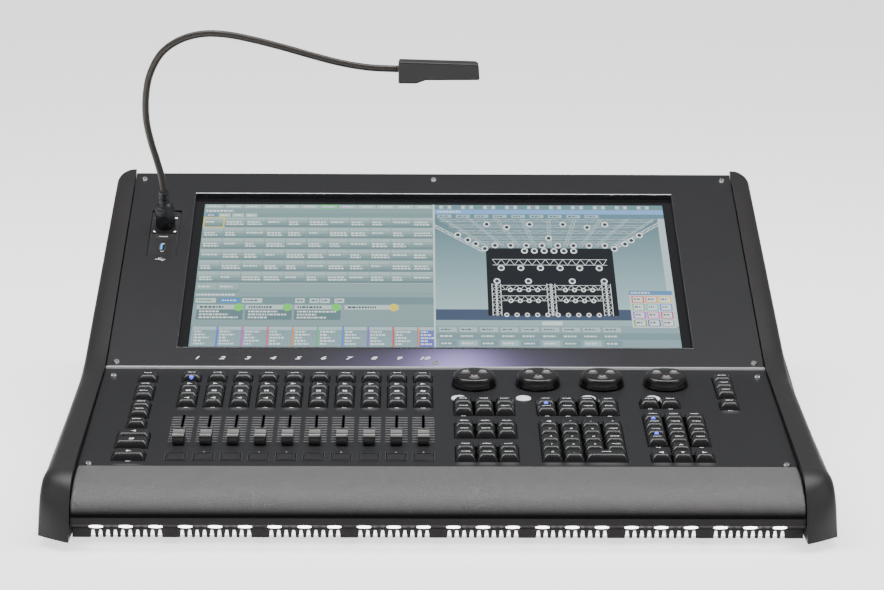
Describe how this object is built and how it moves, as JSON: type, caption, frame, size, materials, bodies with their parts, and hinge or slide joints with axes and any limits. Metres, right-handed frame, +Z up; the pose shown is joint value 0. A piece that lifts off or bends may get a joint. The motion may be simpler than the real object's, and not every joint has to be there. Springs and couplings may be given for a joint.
{
  "type": "lighting control desk",
  "caption": "Wedge-shaped lighting console with a tilted touch screen, faders, encoder wheels, key banks, a padded armrest, side cheeks and a gooseneck lamp.",
  "frame": {"origin": "on the table, below the middle of the desk's outline", "axes": "+X to the operator's right, +Y to the rear, +Z up"},
  "size_m": [0.6868, 0.6715, 0.3845],
  "materials": {
    "panel": "satin",
    "sheet": "satin",
    "bar": "satin",
    "strip": "brushed",
    "cheek": "satin moulded",
    "leather": "grained",
    "core": "raw plywood",
    "screw": "polished",
    "rubber": "matt",
    "key": "satin",
    "flash": "satin",
    "wheel": "soft-touch",
    "cap": "satin",
    "button": "translucent",
    "led": "lit white",
    "glass": "polished",
    "module": "dull",
    "socket": "satin",
    "board": "solder mask",
    "can": "plain",
    "fan": "dull",
    "neck": "ribbed, satin",
    "lamp": "satin",
    "lens": "diffusing"
  },
  "bodies": {
    "desk": {"base_pan": "sheet", "front_vent_strip": "bar", "light_bar": "bar", "led_lenses": "led", "left_cheek": "cheek", "right_cheek": "cheek", "rear_panel": "sheet", "side_frames": "sheet", "screen_plate": "panel", "control_plate": "panel", "seam_strip": "strip", "screen_trim": "strip", "touch_glass": "glass", "lcd_module": "module", "armrest_core": "core", "armrest_pad": "leather", "socket_plate": "socket", "usb_port": "can", "plate_screws": "screw", "feet": "rubber", "key_board": "board", "fader_bodies": "board", "encoder_bodies": "board", "main_board": "board", "power_supply": "can", "xlr_outputs": "socket", "data_ports": "can", "power_inlet": "socket", "fan_frame": "fan", "lamp_plug": "lamp"},
    "fader_1": {"fader_1": "cap"},
    "fader_2": {"fader_2": "cap"},
    "fader_3": {"fader_3": "cap"},
    "fader_4": {"fader_4": "cap"},
    "fader_5": {"fader_5": "cap"},
    "fader_6": {"fader_6": "cap"},
    "fader_7": {"fader_7": "cap"},
    "fader_8": {"fader_8": "cap"},
    "fader_9": {"fader_9": "cap"},
    "fader_10": {"fader_10": "cap"},
    "wheel_1": {"wheel_1": "wheel"},
    "wheel_2": {"wheel_2": "wheel"},
    "wheel_3": {"wheel_3": "wheel"},
    "wheel_4": {"wheel_4": "wheel"},
    "master_keys": {"master_keys": "key"},
    "choose_keys": {"choose_keys": "key"},
    "play_keys": {"play_keys": "key"},
    "pause_keys": {"pause_keys": "key"},
    "back_keys": {"back_keys": "key"},
    "flash_keys": {"flash_keys": "flash"},
    "object_keys": {"object_keys": "key"},
    "number_keys": {"number_keys": "key"},
    "function_keys": {"function_keys": "key"},
    "page_keys": {"page_keys": "key"},
    "encoder_buttons": {"encoder_buttons": "button"},
    "power_switch": {"power_switch": "socket"},
    "fan_rotor": {"fan_rotor": "fan"},
    "gooseneck": {"gooseneck": "neck"},
    "lamp_head": {"lamp_head": "lamp", "lamp_lens": "lens"}
  },
  "joints": [
    {"name": "fader_1_slide", "type": "slide", "parent": "desk", "child": "fader_1", "axis": [0, 0.9945, 0.1045], "range_m": [0, 0.06]},
    {"name": "fader_2_slide", "type": "slide", "parent": "desk", "child": "fader_2", "axis": [0, 0.9945, 0.1045], "range_m": [0, 0.06]},
    {"name": "fader_3_slide", "type": "slide", "parent": "desk", "child": "fader_3", "axis": [0, 0.9945, 0.1045], "range_m": [0, 0.06]},
    {"name": "fader_4_slide", "type": "slide", "parent": "desk", "child": "fader_4", "axis": [0, 0.9945, 0.1045], "range_m": [0, 0.06]},
    {"name": "fader_5_slide", "type": "slide", "parent": "desk", "child": "fader_5", "axis": [0, 0.9945, 0.1045], "range_m": [0, 0.06]},
    {"name": "fader_6_slide", "type": "slide", "parent": "desk", "child": "fader_6", "axis": [0, 0.9945, 0.1045], "range_m": [0, 0.06]},
    {"name": "fader_7_slide", "type": "slide", "parent": "desk", "child": "fader_7", "axis": [0, 0.9945, 0.1045], "range_m": [0, 0.06]},
    {"name": "fader_8_slide", "type": "slide", "parent": "desk", "child": "fader_8", "axis": [0, 0.9945, 0.1045], "range_m": [0, 0.06]},
    {"name": "fader_9_slide", "type": "slide", "parent": "desk", "child": "fader_9", "axis": [0, 0.9945, 0.1045], "range_m": [0, 0.06]},
    {"name": "fader_10_slide", "type": "slide", "parent": "desk", "child": "fader_10", "axis": [0, 0.9945, 0.1045], "range_m": [0, 0.06]},
    {"name": "wheel_1_turn", "type": "hinge", "parent": "desk", "child": "wheel_1", "pos_m": [0.0357, -0.05678, 0.0779], "axis": [0, -0.1045, 0.9945], "continuous": true},
    {"name": "wheel_2_turn", "type": "hinge", "parent": "desk", "child": "wheel_2", "pos_m": [0.0957, -0.05678, 0.0779], "axis": [0, -0.1045, 0.9945], "continuous": true},
    {"name": "wheel_3_turn", "type": "hinge", "parent": "desk", "child": "wheel_3", "pos_m": [0.1557, -0.05678, 0.0779], "axis": [0, -0.1045, 0.9945], "continuous": true},
    {"name": "wheel_4_turn", "type": "hinge", "parent": "desk", "child": "wheel_4", "pos_m": [0.2157, -0.05678, 0.0779], "axis": [0, -0.1045, 0.9945], "continuous": true},
    {"name": "master_press", "type": "slide", "parent": "desk", "child": "master_keys", "axis": [0, 0.1045, -0.9945], "range_m": [0, 0.0025], "stiffness_N_per_m": 1440, "springref_m": -0.0015},
    {"name": "choose_press", "type": "slide", "parent": "desk", "child": "choose_keys", "axis": [0, 0.1045, -0.9945], "range_m": [0, 0.0025], "stiffness_N_per_m": 1600, "springref_m": -0.0015},
    {"name": "play_press", "type": "slide", "parent": "desk", "child": "play_keys", "axis": [0, 0.1045, -0.9945], "range_m": [0, 0.0025], "stiffness_N_per_m": 1600, "springref_m": -0.0015},
    {"name": "pause_press", "type": "slide", "parent": "desk", "child": "pause_keys", "axis": [0, 0.1045, -0.9945], "range_m": [0, 0.0025], "stiffness_N_per_m": 1600, "springref_m": -0.0015},
    {"name": "back_press", "type": "slide", "parent": "desk", "child": "back_keys", "axis": [0, 0.1045, -0.9945], "range_m": [0, 0.0025], "stiffness_N_per_m": 1600, "springref_m": -0.0015},
    {"name": "flash_press", "type": "slide", "parent": "desk", "child": "flash_keys", "axis": [0, 0.1045, -0.9945], "range_m": [0, 0.0025], "stiffness_N_per_m": 1600, "springref_m": -0.0015},
    {"name": "object_press", "type": "slide", "parent": "desk", "child": "object_keys", "axis": [0, 0.1045, -0.9945], "range_m": [0, 0.0025], "stiffness_N_per_m": 2880, "springref_m": -0.0015},
    {"name": "number_press", "type": "slide", "parent": "desk", "child": "number_keys", "axis": [0, 0.1045, -0.9945], "range_m": [0, 0.0025], "stiffness_N_per_m": 4320, "springref_m": -0.0015},
    {"name": "function_press", "type": "slide", "parent": "desk", "child": "function_keys", "axis": [0, 0.1045, -0.9945], "range_m": [0, 0.0025], "stiffness_N_per_m": 2880, "springref_m": -0.0015},
    {"name": "page_press", "type": "slide", "parent": "desk", "child": "page_keys", "axis": [0, 0.1045, -0.9945], "range_m": [0, 0.0025], "stiffness_N_per_m": 640, "springref_m": -0.0015},
    {"name": "encoder_press", "type": "slide", "parent": "desk", "child": "encoder_buttons", "axis": [0, 0.1045, -0.9945], "range_m": [0, 0.0025], "stiffness_N_per_m": 640, "springref_m": -0.0015},
    {"name": "power_switch_rock", "type": "hinge", "parent": "desk", "child": "power_switch", "pos_m": [-0.18, 0.32963, 0.09], "axis": [1, 0, 0], "range_deg": [0, 16]},
    {"name": "fan_spin", "type": "hinge", "parent": "desk", "child": "fan_rotor", "pos_m": [0.21, 0.32893, 0.12], "axis": [0, -1, 0], "continuous": true},
    {"name": "lamp_swing", "type": "hinge", "parent": "desk", "child": "gooseneck", "pos_m": [-0.2766, 0.21799, 0.2118], "axis": [0, -0.3469, 0.9379], "range_deg": [-90, 90]},
    {"name": "lamp_twist", "type": "hinge", "parent": "gooseneck", "child": "lamp_head", "pos_m": [-0.037, 0.1689, 0.34451], "axis": [1, 0, 0], "range_deg": [-75, 75]}
  ]
}
